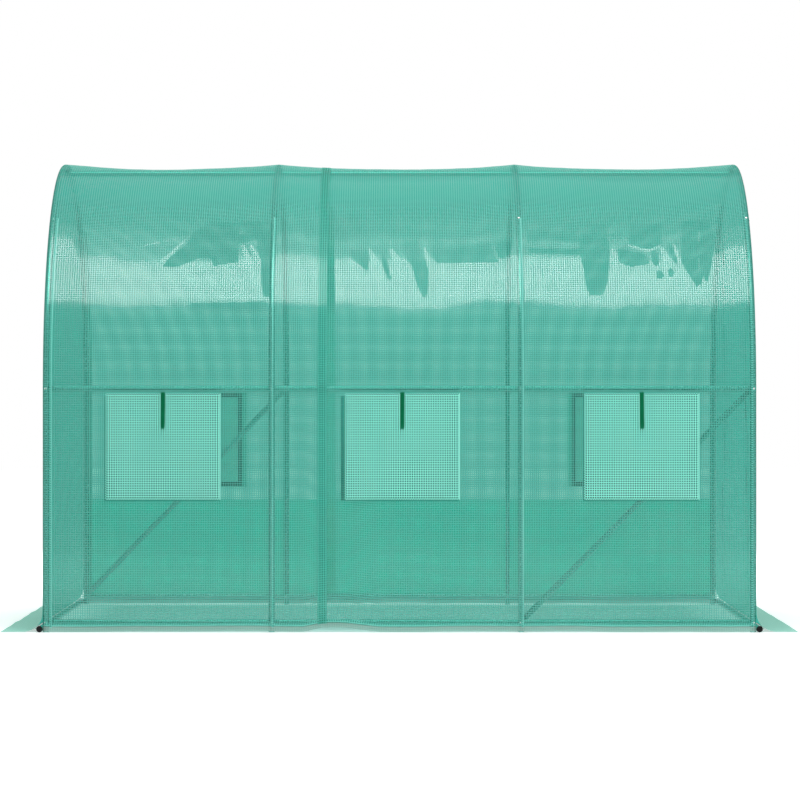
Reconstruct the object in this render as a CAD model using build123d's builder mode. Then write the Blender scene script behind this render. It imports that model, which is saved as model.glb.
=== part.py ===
"""Polytunnel greenhouse: a frame of steel tubes under a film cover with a zipped door.

X runs along the tunnel with the door at +X, the front wall is at -Y and Z points up.
The origin lies on the ground in the middle of the tunnel. All lengths are in millimetres.
"""

import os
from math import cos, radians, sin, sqrt

from build123d import *

# Frame
tunnel_length = 3000  # over the outer faces of the end hoops
tunnel_width = 2000  # over the outer faces of the legs
leg_height = 1025  # ground to the spring line of the arch
middle_bay = 1050  # between the two inner hoops
middle_bay_shift = -13  # inner hoops off the middle of the tunnel
tube_diameter = 25
tube_wall = 1
haunch_angle = 47  # degrees of arch from the spring line to the crown joint
base_bar_height = 40  # ground to the middle of the base bars
rail_setback = 5  # rail ends behind the end hoops' outer faces
crossbar_overhang = 8  # beyond the outer faces of the legs
plug_length = 20
plug_recess = 1
lap_gap = 0.3  # between lapped tubes and between tube and film
plug_gap = 0.1  # round a plug in its tube

# Cover
film_thickness = 2
hem_height = 3  # ground to the bottom edge of the side walls
roof_panels = 6  # equal shares of the half circle
window_width = 414
window_height = 408
flap_side_border = 35  # flap beyond the window to the left and right
flap_end_border = 20  # flap beyond the window above and below
flap_drop = 20  # spring line to the top edge of the flaps
flap_thickness = 2
front_window_shift = 12  # front windows off an even spacing along the tunnel
back_window_shift = 36  # back windows off an even spacing along the tunnel
screen_thickness = 1
screen_lap = 15  # screen beyond the window on each side
strap_width = 17
strap_length = 153
strap_thickness = 2

# Door end
door_width = 1160
door_margin = 90  # arch of the cover above the door's top corners
door_gap = 0.5  # round the door, along the zips
skirt_reach = 178  # skirts beyond the outer faces of the end hoops
skirt_slack = 3  # skirt clear of the crossbar that it passes over

# Derived sizes of the frame
tube_radius = tube_diameter / 2
bore_radius = tube_radius - tube_wall
hoop_radius = tunnel_width / 2 - tube_radius
end_hoop = tunnel_length / 2 - tube_radius
inner_hoop = middle_bay / 2
left_inner_hoop = middle_bay_shift - inner_hoop
right_inner_hoop = middle_bay_shift + inner_hoop
hoop_places = (-end_hoop, left_inner_hoop, right_inner_hoop, end_hoop)
rail_end = tunnel_length / 2 - rail_setback
bay_edges = (-rail_end, left_inner_hoop, right_inner_hoop, rail_end)
bay_names = ("left", "middle", "right")
rail_radius = hoop_radius - tube_diameter - lap_gap
brace_place = rail_radius - tube_diameter - lap_gap
ridge_height = leg_height + rail_radius
crossbar_place = tunnel_length / 2 + 2 * lap_gap + tube_radius
crossbar_half = tunnel_width / 2 + crossbar_overhang
plug_face = crossbar_half - plug_recess
arch_axis = Axis((0, 0, leg_height), (-1, 0, 0))

# Derived sizes of the cover
cover_inner = tunnel_width / 2 + lap_gap
cover_outer = cover_inner + film_thickness
end_inner = tunnel_length / 2 + lap_gap
roof_share = 180 / roof_panels
window_spacing = (end_hoop + inner_hoop) / 2
window_row = (-window_spacing, 0, window_spacing)
flap_width = window_width + 2 * flap_side_border
flap_height = window_height + 2 * flap_end_border
flap_top = leg_height - flap_drop
window_middle = flap_top - flap_height / 2
strap_middle = flap_top - strap_length / 2
screen_width = window_width + 2 * screen_lap
screen_height = window_height + 2 * screen_lap
door_half = door_width / 2
door_top = leg_height + sqrt(cover_outer**2 - door_half**2) - door_margin

# The skirt's bend is the smallest that clears the crossbar lying in its corner.
corner_share = 1 + sqrt(2)
skirt_bend = tube_radius * corner_share**2 + skirt_slack * corner_share
skirt_middle = end_inner + skirt_bend
skirt_end = tunnel_length / 2 + skirt_reach

os.makedirs("parts", exist_ok=True)


def write(piece, name):
    """Labels a finished piece and writes it to a file of its own."""
    piece.part.label = name
    export_step(piece.part, f"parts/{name}.step")


def tube_sections(*places):
    """Draws the ring of a tube at each place on the open sketch."""
    with Locations(*places):
        Circle(tube_radius)
        Circle(bore_radius, mode=Mode.SUBTRACT)


def arch_plane(x, radius, angle):
    """The plane across the arch at an angle from the front spring line."""
    rise = radians(angle)
    place = (x, -radius * cos(rise), leg_height + radius * sin(rise))
    return Plane(origin=place, x_dir=(1, 0, 0), z_dir=(0, sin(rise), cos(rise)))


def wall_plane(side, depth):
    """The plane of the front wall (side 1) or back wall (side -1), this far out."""
    return Plane.XZ.offset(side * depth)


def window_places(side, height):
    """The middles of one wall's three windows, at a height."""
    shift = front_window_shift if side > 0 else back_window_shift
    return [(middle + shift, height) for middle in window_row]


# Hoops
for number, hoop_x in enumerate(hoop_places, start=1):
    with BuildPart() as legs:
        with BuildSketch():
            tube_sections((hoop_x, -hoop_radius), (hoop_x, hoop_radius))
        extrude(amount=leg_height)
    write(legs, f"hoop_{number}_legs")

    with BuildPart() as haunches:
        for start in (0, 180 - haunch_angle):
            with BuildSketch(arch_plane(hoop_x, hoop_radius, start)):
                tube_sections((0, 0))
            revolve(axis=arch_axis, revolution_arc=haunch_angle)
    write(haunches, f"hoop_{number}_haunches")

    with BuildPart() as crown:
        with BuildSketch(arch_plane(hoop_x, hoop_radius, haunch_angle)):
            tube_sections((0, 0))
        revolve(axis=arch_axis, revolution_arc=180 - 2 * haunch_angle)
    write(crown, f"hoop_{number}_crown")

# Ridge, side rails and base bars, one length for each bay
for bay, start, end in zip(bay_names, bay_edges, bay_edges[1:]):
    with BuildPart() as ridge:
        with BuildSketch(Plane.YZ.offset(start)):
            tube_sections((0, ridge_height))
        extrude(amount=end - start)
    write(ridge, f"ridge_beam_{bay}")

    for name, height in (("side_rails", leg_height), ("base_bars", base_bar_height)):
        with BuildPart() as rails:
            with BuildSketch(Plane.YZ.offset(start)):
                tube_sections((-rail_radius, height), (rail_radius, height))
            extrude(amount=end - start)
        write(rails, f"{name}_{bay}")

# Ground crossbars outside the end hoops, with plugs in their open ends
for end_name, crossbar_x in (("left", -crossbar_place), ("right", crossbar_place)):
    with BuildPart() as crossbar:
        with BuildSketch(Plane.XZ):
            tube_sections((crossbar_x, tube_radius))
        extrude(amount=crossbar_half, both=True)
    write(crossbar, f"{end_name}_crossbar")

with BuildPart() as plugs:
    for side in (1, -1):
        with BuildSketch(wall_plane(side, plug_face)):
            with Locations((-crossbar_place, tube_radius), (crossbar_place, tube_radius)):
                Circle(bore_radius - plug_gap)
        extrude(amount=-side * plug_length)
write(plugs, "crossbar_plugs")

# Diagonal braces, lapped inside a base bar and a side rail
for name, depth, low_x, high_x in (
    ("front_brace", -brace_place, right_inner_hoop, end_hoop),
    ("back_brace", brace_place, -end_hoop, left_inner_hoop),
):
    low = Vector(low_x, depth, base_bar_height)
    high = Vector(high_x, depth, leg_height)
    with BuildPart() as brace:
        with BuildSketch(Plane(origin=low, z_dir=high - low)):
            tube_sections((0, 0))
        extrude(amount=(high - low).length)
    write(brace, name)

# Side walls with their window openings and flaps
for side_name, side in (("front", 1), ("back", -1)):
    with BuildPart() as wall:
        with BuildSketch(wall_plane(side, cover_inner)):
            with Locations((0, (hem_height + leg_height) / 2)):
                Rectangle(2 * end_inner, leg_height - hem_height)
            with Locations(*window_places(side, window_middle)):
                Rectangle(window_width, window_height, mode=Mode.SUBTRACT)
        extrude(amount=side * film_thickness)
    write(wall, f"{side_name}_wall_cover")

    with BuildPart() as flaps:
        with BuildSketch(wall_plane(side, cover_outer)):
            with Locations(*window_places(side, window_middle)):
                Rectangle(flap_width, flap_height)
        extrude(amount=side * flap_thickness)
    write(flaps, f"{side_name}_window_flaps")

    with BuildPart() as screens:
        with BuildSketch(wall_plane(side, cover_inner)):
            with Locations(*window_places(side, window_middle)):
                Rectangle(screen_width, screen_height)
        extrude(amount=-side * screen_thickness)
    write(screens, f"{side_name}_window_screens")

    with BuildPart() as straps:
        with BuildSketch(wall_plane(side, cover_outer + flap_thickness)):
            with Locations(*window_places(side, strap_middle)):
                Rectangle(strap_width, strap_length)
        extrude(amount=side * strap_thickness)
    write(straps, f"{side_name}_flap_straps")

# Roof, in equal shares of the arch from the front wall to the back wall
for number in range(roof_panels):
    film_middle = cover_inner + film_thickness / 2
    with BuildPart() as roof:
        with BuildSketch(arch_plane(0, film_middle, number * roof_share)):
            Rectangle(2 * end_inner, film_thickness)
        revolve(axis=arch_axis, revolution_arc=roof_share)
    write(roof, f"roof_cover_{number + 1}")

# End covers, with the doorway in the right one
for end_name, side in (("left", -1), ("right", 1)):
    with BuildPart() as end_cover:
        with BuildSketch(Plane.YZ.offset(side * end_inner)):
            with BuildLine():
                Polyline(
                    (-cover_outer, leg_height),
                    (-cover_outer, skirt_bend),
                    (cover_outer, skirt_bend),
                    (cover_outer, leg_height),
                )
                arch_top = (0, leg_height + cover_outer)
                ThreePointArc((cover_outer, leg_height), arch_top, (-cover_outer, leg_height))
            make_face()
            if side > 0:
                with Locations((0, (skirt_bend + door_top) / 2)):
                    Rectangle(door_width, door_top - skirt_bend, mode=Mode.SUBTRACT)
        extrude(amount=side * film_thickness)
    write(end_cover, f"{end_name}_end_cover")

with BuildPart() as door:
    with BuildSketch(Plane.YZ.offset(end_inner)):
        with Locations((0, (skirt_bend + door_top - door_gap) / 2)):
            Rectangle(door_width - 2 * door_gap, door_top - door_gap - skirt_bend)
    extrude(amount=film_thickness)
write(door, "zipped_door")

# Ground skirts: a quarter bend below each end cover, then flat on the ground
for end_name, side in (("left", -1), ("right", 1)):
    with BuildPart() as skirt:
        with BuildSketch(Plane.XZ):
            with BuildLine():
                bend_share = 1 - sqrt(2) / 2
                film_face = end_inner + film_thickness
                low_bend = side * (end_inner + bend_share * skirt_bend)
                inner_bend = skirt_bend - film_thickness
                high_bend = side * (film_face + bend_share * inner_bend)
                ThreePointArc(
                    (side * end_inner, skirt_bend),
                    (low_bend, bend_share * skirt_bend),
                    (side * skirt_middle, 0),
                )
                Polyline(
                    (side * skirt_middle, 0),
                    (side * skirt_end, 0),
                    (side * skirt_end, film_thickness),
                    (side * skirt_middle, film_thickness),
                )
                ThreePointArc(
                    (side * skirt_middle, film_thickness),
                    (high_bend, film_thickness + bend_share * inner_bend),
                    (side * film_face, skirt_bend),
                )
                Line((side * film_face, skirt_bend), (side * end_inner, skirt_bend))
            make_face()
        extrude(amount=tunnel_width / 2, both=True)
    write(skirt, f"{end_name}_ground_skirt")
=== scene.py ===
"""Looks of the polytunnel greenhouse: the film cover, its windows and door, and the tube frame."""

import math

import bmesh
import bpy
import numpy as np
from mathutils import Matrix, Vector


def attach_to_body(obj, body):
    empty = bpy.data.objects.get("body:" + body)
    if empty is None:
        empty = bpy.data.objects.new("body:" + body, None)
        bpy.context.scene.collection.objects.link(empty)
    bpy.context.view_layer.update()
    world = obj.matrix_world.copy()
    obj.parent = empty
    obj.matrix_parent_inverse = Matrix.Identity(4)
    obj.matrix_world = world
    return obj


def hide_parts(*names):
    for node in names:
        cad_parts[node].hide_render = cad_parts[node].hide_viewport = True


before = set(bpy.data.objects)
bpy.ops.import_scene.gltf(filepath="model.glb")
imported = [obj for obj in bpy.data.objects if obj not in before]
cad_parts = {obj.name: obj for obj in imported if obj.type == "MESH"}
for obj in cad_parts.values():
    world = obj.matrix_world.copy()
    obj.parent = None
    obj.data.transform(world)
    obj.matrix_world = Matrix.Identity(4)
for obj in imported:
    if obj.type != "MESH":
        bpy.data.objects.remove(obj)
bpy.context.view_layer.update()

# Sizes in metres, as in the model
HALF_LENGTH = 1.5
HALF_WIDTH = 1.0
LEG = 1.025
TUBE = 0.0125
HOOP = HALF_WIDTH - TUBE
END_HOOP = HALF_LENGTH - TUBE
SECOND_HOOP = -0.538
THIRD_HOOP = 0.512
HOOPS = (-END_HOOP, SECOND_HOOP, THIRD_HOOP, END_HOOP)
TUBE_GAP = 0.0003
RAIL = HOOP - 2 * TUBE - TUBE_GAP
BRACE = RAIL - 2 * TUBE - TUBE_GAP
BASE_BAR = 0.040
RIDGE = 1.9872
CROSSBAR = HALF_LENGTH + 0.0006 + TUBE
HAUNCH_ANGLE = 47.0
BOLT_ANGLES = (HAUNCH_ANGLE, 180 - HAUNCH_ANGLE)
WINDOW_W, WINDOW_H = 0.414, 0.408
FLAP_W, FLAP_H = 0.484, 0.448
FLAP_TOP = LEG - 0.020
WINDOW_LOW = FLAP_TOP - 0.020 - WINDOW_H
WINDOW_HIGH = FLAP_TOP - 0.020
WINDOW_MIDDLE = (WINDOW_LOW + WINDOW_HIGH) / 2
WINDOWS = (-1.00625, 0.0, 1.00625)
SCREEN_LAP = 0.015
DOOR = 0.58
DOOR_TOP = LEG + math.sqrt(1.0023**2 - DOOR**2) - 0.090
BEND = 0.0801
SKIRT_END = HALF_LENGTH + 0.178

# The two long sides, and how far the windows of each are shifted along the tunnel
FRONT, BACK = -1, 1
SIDES = ((FRONT, "front"), (BACK, "back"))
SHIFT = {FRONT: 0.012, BACK: 0.036}

# The film: its weave, its seam, and its length over the hoops from hem to hem
PITCH = 0.00987
THREAD_HALF = 0.0016
SEAM = (-0.3445, -0.3065)
FILM_GAP = 0.0008
FILM = HALF_WIDTH + FILM_GAP
TURN = TUBE + FILM_GAP
WRAP = math.pi / 2 * TURN
ARCH = math.pi * FILM
SECTION = 2 * LEG + ARCH
CREST = LEG + ARCH / 2


# Materials


def new_material(name):
    """An empty node material, its node tree and its output node."""
    mat = bpy.data.materials.new(name)
    mat.use_nodes = True
    tree = mat.node_tree
    tree.nodes.clear()
    out = tree.nodes.new("ShaderNodeOutputMaterial")
    return mat, tree, out


def add_node(tree, kind, inputs=None, **settings):
    """A shader node with its settings and its inputs: numbers, colours or sockets."""
    node = tree.nodes.new("ShaderNode" + kind)
    for key, value in settings.items():
        setattr(node, key, value)
    for key, value in (inputs or {}).items():
        if isinstance(value, bpy.types.NodeSocket):
            tree.links.new(value, node.inputs[key])
        elif isinstance(value, tuple):
            node.inputs[key].default_value = (*value, 1.0)
        else:
            node.inputs[key].default_value = value
    return node


def maths(tree, op, a, b=0.0, clamp=False):
    """The result of a Math node on sockets or numbers."""
    return add_node(tree, "Math", {0: a, 1: b}, operation=op, use_clamp=clamp).outputs[0]


def ramp(tree, value, low, high, to_low=0.0, to_high=1.0, kind="LINEAR"):
    """A clamped Map Range from low..high to to_low..to_high."""
    ends = {"Value": value, "From Min": low, "From Max": high, "To Min": to_low, "To Max": to_high}
    return add_node(tree, "MapRange", ends, clamp=True, interpolation_type=kind).outputs["Result"]


def mix_colour(tree, factor, a, b):
    """A mix of two colours, a Mix node's inputs 6 and 7 and its output 2."""
    return add_node(tree, "Mix", {"Factor": factor, 6: a, 7: b}, data_type="RGBA").outputs[2]


def mix_shader(tree, factor, a, b):
    """A mix of two shader nodes."""
    return add_node(tree, "MixShader", {0: factor, 1: a.outputs[0], 2: b.outputs[0]})


def noise(tree, scale, detail):
    """A noise texture's factor, in object coordinates."""
    where = add_node(tree, "TexCoord").outputs["Object"]
    return add_node(tree, "TexNoise", {"Scale": scale, "Detail": detail, "Vector": where}).outputs["Fac"]


def mottle(tree, scale, detail, low=0.0, high=1.0):
    """Noise, with its usual range spread from low to high."""
    return ramp(tree, noise(tree, scale, detail), 0.3, 0.7, low, high)


def bump(tree, height, distance, strength=1.0, normal=None):
    """A Bump node's normal."""
    inputs = {"Distance": distance, "Strength": strength, "Height": height}
    if normal is not None:
        inputs["Normal"] = normal
    return add_node(tree, "Bump", inputs).outputs["Normal"]


def sheet_uv(tree):
    """The place on a flat sheet, in metres."""
    return add_node(tree, "UVMap", uv_map="sheet").outputs["UV"]


def threads(tree, pitch, half):
    """Masks of the two sets of threads of a woven grid, at a pitch and half width."""
    split = add_node(tree, "SeparateXYZ", {0: sheet_uv(tree)})
    edge = 0.5 - half / pitch
    soft = 0.05
    masks = []
    for axis in (0, 1):
        turns = maths(tree, "MULTIPLY", split.outputs[axis], 1.0 / pitch)
        part = maths(tree, "FRACT", turns)
        off = maths(tree, "ABSOLUTE", maths(tree, "SUBTRACT", part, 0.5))
        masks.append(ramp(tree, off, edge - soft, edge + soft))
    return masks


def scaled(colour, share):
    """A colour made lighter or darker."""
    return tuple(share * c for c in colour)


def leaning_normal(tree):
    """The face's normal, tilted by the lean attribute where the film is creased."""
    lean = add_node(tree, "Attribute", attribute_name="lean").outputs["Vector"]
    facing = add_node(tree, "NewGeometry").outputs["Normal"]
    tilted = add_node(tree, "VectorMath", {0: facing, 1: lean}, operation="ADD").outputs[0]
    return add_node(tree, "VectorMath", {0: tilted}, operation="NORMALIZE").outputs[0]


TINT = (0.54, 0.92, 0.84)
COVER_TINT = (0.490, 0.82, 0.75)
CELL = (0.05, 0.36, 0.29)
ROOF_CELL = (0.005, 0.51, 0.41)
THREAD = (0.062, 0.490, 0.415)
# How far from the crest the roof's cells are denser, and the crest itself thinner
ROOF_NEAR, ROOF_FAR = 0.52, 0.86
CREST_FAR = 0.42
CREST_SHARE = 0.30


def film_material(name, cell, thread, cell_alpha, thread_alpha, through=0.52, ior=1.85, rough=0.13,
                  tint=TINT, crown=None):
    """Green film with a woven grid: clear, tinted matt cells between glossy, denser threads.

    crown is the cells' alpha on the roof, where they are denser than on the walls."""
    mat, tree, out = new_material(name)
    along, across = threads(tree, PITCH, THREAD_HALF)
    either = maths(tree, "MAXIMUM", along, across)
    tone = mottle(tree, 2.3, 3.0, 0.0, 0.25)
    thread_colour = mix_colour(tree, tone, thread, scaled(thread, 0.80))
    cell_colour = mix_colour(tree, tone, cell, scaled(cell, 1.15))
    if crown is None:
        normal = None
        solid = ramp(tree, either, 0.0, 1.0, cell_alpha, thread_alpha)
    else:
        normal = leaning_normal(tree)
        up = add_node(tree, "SeparateXYZ", {0: sheet_uv(tree)}).outputs[1]
        off = maths(tree, "ABSOLUTE", maths(tree, "SUBTRACT", up, CREST))
        roof = ramp(tree, off, ROOF_NEAR, ROOF_FAR, 1.0, 0.0)
        cell_colour = mix_colour(tree, roof, cell_colour, ROOF_CELL)
        low = ramp(tree, off, ROOF_NEAR, ROOF_FAR, crown, cell_alpha, "SMOOTHSTEP")
        rise = maths(tree, "MULTIPLY", either, maths(tree, "SUBTRACT", thread_alpha, low))
        thin = ramp(tree, off, 0.0, CREST_FAR, CREST_SHARE, 1.0)
        solid = maths(tree, "MULTIPLY", maths(tree, "ADD", low, rise), thin)
    gloss = add_node(tree, "BsdfPrincipled", {
        "Base Color": thread_colour,
        "Roughness": mottle(tree, 60.0, 2.0, rough * 0.86, rough * 1.14),
        "IOR": ior,
        "Specular IOR Level": 1.0,
        "Normal": bump(tree, noise(tree, 9.0, 2.0), 0.0012, 0.6, normal),
    })
    glow = add_node(tree, "BsdfTranslucent", {"Color": thread_colour})
    dull = add_node(tree, "BsdfPrincipled", {
        "Base Color": cell_colour,
        "Roughness": 0.9,
        "Specular IOR Level": 0.0,
    })
    dim = add_node(tree, "BsdfTranslucent", {"Color": cell_colour})
    weave = mix_shader(tree, through, gloss, glow)
    matt = mix_shader(tree, through, dull, dim)
    body = mix_shader(tree, either, matt, weave)
    clear = add_node(tree, "BsdfTransparent", {"Color": tint})
    whole = mix_shader(tree, solid, clear, body)
    tree.links.new(whole.outputs[0], out.inputs["Surface"])
    return mat


def solid_material(name, colour_a, colour_b, scale, rough, metal=0.0, bump_m=0.0, spec=0.5):
    """A plain opaque material with two tones, broken up by noise, and a little relief."""
    mat, tree, out = new_material(name)
    grain = noise(tree, scale, 4.0)
    inputs = {
        "Base Color": mix_colour(tree, ramp(tree, grain, 0.35, 0.65), colour_a, colour_b),
        "Roughness": ramp(tree, grain, 0.3, 0.7, *rough),
        "Metallic": metal,
        "Specular IOR Level": spec,
    }
    if bump_m:
        inputs["Normal"] = bump(tree, grain, bump_m)
    body = add_node(tree, "BsdfPrincipled", inputs)
    tree.links.new(body.outputs[0], out.inputs["Surface"])
    return mat


def webbing_material(name, colour_a, colour_b, pitch):
    """Woven webbing: fine ribs along and across."""
    mat, tree, out = new_material(name)
    along, across = threads(tree, pitch, pitch * 0.3)
    weave = maths(tree, "MULTIPLY", maths(tree, "ADD", along, across), 0.5)
    tone = maths(tree, "MULTIPLY", weave, mottle(tree, 30.0, 3.0, 0.6, 1.0))
    body = add_node(tree, "BsdfPrincipled", {
        "Base Color": mix_colour(tree, tone, colour_a, colour_b),
        "Roughness": 0.85,
        "Specular IOR Level": 0.1,
        "Normal": bump(tree, weave, 0.0006),
    })
    tree.links.new(body.outputs[0], out.inputs["Surface"])
    return mat


def mesh_material(name, colour, pitch, open_alpha):
    """Fine insect mesh: opaque threads and nearly open holes."""
    mat, tree, out = new_material(name)
    along, across = threads(tree, pitch, pitch * 0.2)
    either = maths(tree, "MAXIMUM", along, across)
    body = add_node(tree, "BsdfPrincipled", {
        "Base Color": mix_colour(tree, mottle(tree, 25.0, 2.0), colour, scaled(colour, 1.25)),
        "Roughness": 0.6,
        "Normal": bump(tree, either, 0.0003),
    })
    clear = add_node(tree, "BsdfTransparent")
    whole = mix_shader(tree, ramp(tree, either, 0.0, 1.0, open_alpha, 0.95), clear, body)
    tree.links.new(whole.outputs[0], out.inputs["Surface"])
    return mat


film = film_material("cover_film", CELL, THREAD, 0.12, 0.95, tint=COVER_TINT, crown=0.60)
seam_film = film_material(
    "seam_film", (0.120, 0.58, 0.51), (0.160, 0.70, 0.63), 0.30, 0.95, through=0.75, ior=1.8)
apron_film = film_material(
    "apron_film", (0.002, 0.80, 0.64), (0.004, 0.97, 0.80), 0.32, 0.95, through=0.80, ior=1.6)
end_film = film_material(
    "end_film", (0.05, 0.56, 0.465), (0.085, 0.82, 0.69), 0.72, 0.95, through=0.75, ior=1.8)
# The skirt film: a lighter copy of the end film, painted light from above on the part that lies on the
# ground, with a duller gloss
lit_skirt_film = film_material(
    "lit_skirt_film", (0.37, 0.76, 0.65), (0.43, 0.86, 0.74), 0.85, 0.95, through=0.10, ior=1.3, rough=0.5)
flap_film = film_material(
    "flap_film", (0.02, 0.19, 0.145), (0.26, 0.87, 0.725), 0.68, 0.97, through=0.10, ior=1.5)
# A lighter copy of the flap film for the back flaps and back seam: painted light from behind
lighter_back_flap_film = film_material(
    "lighter_back_flap_film", (0.03, 0.46, 0.36), (0.27, 0.96, 0.82), 0.45, 0.97, through=0.60, ior=1.5)
hem_film = film_material(
    "flap_hem_film", (0.08, 0.44, 0.36), (0.29, 0.88, 0.74), 0.68, 0.97, through=0.10, ior=1.5)
# Dark film for strips under the front flaps' left and lower edges: painted shadow cast by the flaps
painted_shadow_film = film_material(
    "painted_flap_shadow_film", (0.002, 0.10, 0.07), (0.02, 0.34, 0.27), 0.60, 0.97, through=0.20, ior=1.5)
# Pale grey-green film for the hems: painted shade of the floor seen under a lifted hem
floor_shade_hem = film_material(
    "painted_floor_shade_hem_film", (0.26, 0.42, 0.375), (0.32, 0.47, 0.425), 0.70, 0.85, through=0.25, ior=1.4, rough=0.4)
# Lighter film for strips that paint highlights: along the hoops, where at the end hoops they are welts too,
# and on the hem's fold
painted_highlight_film = film_material(
    "painted_highlight_film", (0.07, 0.42, 0.35), (0.20, 0.74, 0.63), 0.60, 0.92, through=0.25, ior=1.4)
# Tube steel: galvanised, tinted green as painted light, the green light from the film that falls on and
# reflects off the tubes
green_lit_steel = solid_material(
    "galvanised_tube", (0.20, 0.46, 0.42), (0.27, 0.55, 0.51), 160.0, (0.24, 0.29), metal=1.0)
bolt_steel = solid_material(
    "zinc_bolt", (0.60, 0.62, 0.62), (0.80, 0.81, 0.80), 120.0, (0.18, 0.32), metal=0.95)
black = solid_material(
    "black_plug", (0.002, 0.002, 0.002), (0.007, 0.007, 0.008), 90.0, (0.4, 0.5), spec=0.15)
zip_teeth = solid_material(
    "zip_teeth", (0.55, 0.72, 0.66), (0.74, 0.86, 0.81), 300.0, (0.3, 0.45), bump_m=0.0002)
webbing = webbing_material("strap_webbing", (0.001, 0.090, 0.032), (0.003, 0.19, 0.080), 0.0014)
zip_tape = webbing_material("zip_tape", (0.012, 0.20, 0.13), (0.05, 0.42, 0.30), 0.0012)
screen_tape = webbing_material("touch_tape", (0.001, 0.050, 0.030), (0.004, 0.12, 0.075), 0.0022)
screen_mesh = mesh_material("screen_mesh", (0.08, 0.42, 0.33), 0.0016, 0.05)


# Mesh helpers


def attach(obj):
    """Rides a piece on the one body."""
    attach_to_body(obj, "root")


def make_object(name, verts, faces, mat, uvs=None, smooth=True):
    """A mesh object with one material, and a UV map in metres if it has one."""
    mesh = bpy.data.meshes.new(name)
    mesh.from_pydata([tuple(v) for v in verts], [], faces)
    if uvs is not None:
        layer = mesh.uv_layers.new(name="sheet")
        loops = np.empty(len(mesh.loops), dtype=np.int32)
        mesh.loops.foreach_get("vertex_index", loops)
        layer.data.foreach_set("uv", np.asarray(uvs, dtype=np.float32)[loops].ravel())
    if smooth:
        mesh.polygons.foreach_set("use_smooth", [True] * len(mesh.polygons))
    mesh.materials.append(mat)
    mesh.update()
    obj = bpy.data.objects.new(name, mesh)
    bpy.context.scene.collection.objects.link(obj)
    return obj


def grid_object(name, points, uvs, mat, keep=None):
    """A sheet from a grid of points and its two UV grids, with only the kept cells."""
    rows, cols = points.shape[:2]
    index = np.arange(rows * cols).reshape(rows, cols)
    quads = np.stack([index[:-1, :-1], index[:-1, 1:], index[1:, 1:], index[1:, :-1]], -1)
    quads = quads[keep] if keep is not None else quads.reshape(-1, 4)
    used = np.unique(quads)
    new = np.full(rows * cols, -1)
    new[used] = np.arange(len(used))
    verts = points.reshape(-1, 3)[used]
    flat = np.stack(uvs, -1).reshape(-1, 2)[used]
    return make_object(name, verts.tolist(), new[quads].tolist(), mat, flat)


def prism(verts, faces, base, axis, rings, count):
    """Adds a closed turned form to points and faces: rings of (height, radius) along an axis."""
    axis = Vector(axis).normalized()
    across = axis.orthogonal().normalized()
    other = axis.cross(across)
    start = len(verts)
    for level, radius in rings:
        for k in range(count):
            t = 2 * math.pi * k / count
            spoke = across * math.cos(t) + other * math.sin(t)
            verts.append(Vector(base) + axis * level + spoke * radius)
    for ring in range(len(rings) - 1):
        for k in range(count):
            a = start + ring * count + k
            b = start + ring * count + (k + 1) % count
            faces.append((a, b, b + count, a + count))
    faces.append(tuple(start + k for k in reversed(range(count))))
    faces.append(tuple(start + (len(rings) - 1) * count + k for k in range(count)))


def grids(rows, columns):
    """Grids of the places of rows and of columns."""
    return np.meshgrid(rows, columns, indexing="ij")


def middles(places):
    """Places half way between each two."""
    return (places[:-1] + places[1:]) / 2


def stations(breaks, step):
    """Sorted places from break to break, no further apart than step (a number or a function)."""
    breaks = sorted(breaks)
    out = [breaks[0]]
    for a, b in zip(breaks, breaks[1:]):
        if b - a < 1e-6:
            continue
        most = step((a + b) / 2) if callable(step) else step
        count = max(1, math.ceil((b - a) / most - 1e-6))
        out.extend(a + (b - a) * (i + 1) / count for i in range(count))
    return np.array(out)


def ease(x, low, high):
    """Smooth step from 0 at low to 1 at high."""
    t = np.clip((x - low) / (high - low), 0, 1)
    return t * t * (3 - 2 * t)


def waves(x, y, seed, count, low, high):
    """A fixed sum of sine waves with wavelengths from low to high, about -1 to 1."""
    rng = np.random.default_rng(seed)
    total = np.zeros(np.broadcast(x, y).shape)
    for _ in range(count):
        angle = rng.uniform(0, math.pi)
        length = rng.uniform(low, high)
        phase = rng.uniform(0, 2 * math.pi)
        along = x * math.cos(angle) + y * math.sin(angle)
        total = total + np.sin(2 * math.pi * along / length + phase)
    return total / math.sqrt(count)


# The cover over the hoops: one sheet from the front hem over the roof to the back hem


def bay_sag(x):
    """Share of the sag between the hoops: 0 on a hoop, 1 in the middle of a bay."""
    share = np.zeros_like(x)
    for a, b in zip(HOOPS, HOOPS[1:]):
        t = np.clip((x - a) / (b - a), 0, 1)
        share = np.where((x >= a) & (x <= b), 1 - np.abs(2 * t - 1) ** 2, share)
    return share


# Slack creases on one side of the roof: outlines of (place along, arch angle in degrees), inside
# which the film tips to the left or to the right
TIPPED_LEFT = (
    ((-1.004, 31.6), (-0.984, 34.3), (-0.943, 36.2), (-0.898, 39.4), (-0.880, 43.2), (-0.813, 46.2),
     (-0.590, 46.2), (-0.587, 39.7), (-0.686, 38.5), (-0.686, 32.8), (-0.788, 31.6), (-0.801, 34.0),
     (-0.857, 34.0), (-0.940, 31.6)),
    ((-0.616, 46.2), (-0.607, 37.1), (-0.588, 32.8), (-0.582, 26.1), (-0.573, 22.8), (-0.556, 22.8),
     (-0.548, 26.1), (-0.542, 32.8), (-0.547, 46.2)),
    ((-0.876, 21.2), (-0.564, 21.5), (-0.563, 18.4), (-0.901, 18.4)),
    ((-0.314, 51.1), (-0.278, 51.1), (-0.270, 18.4), (-0.308, 18.4)),
    ((-0.219, 37.1), (-0.134, 37.1), (-0.125, 34.0), (-0.134, 29.5), (-0.163, 31.3), (-0.202, 33.7)),
    ((-0.087, 37.1), (-0.062, 35.8), (-0.044, 32.2), (-0.030, 27.5), (-0.050, 27.5), (-0.074, 31.0)),
    ((-0.273, 49.4), (-0.161, 49.4), (-0.160, 42.5), (-0.211, 38.7), (-0.254, 39.4), (-0.271, 41.1)),
)
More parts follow.
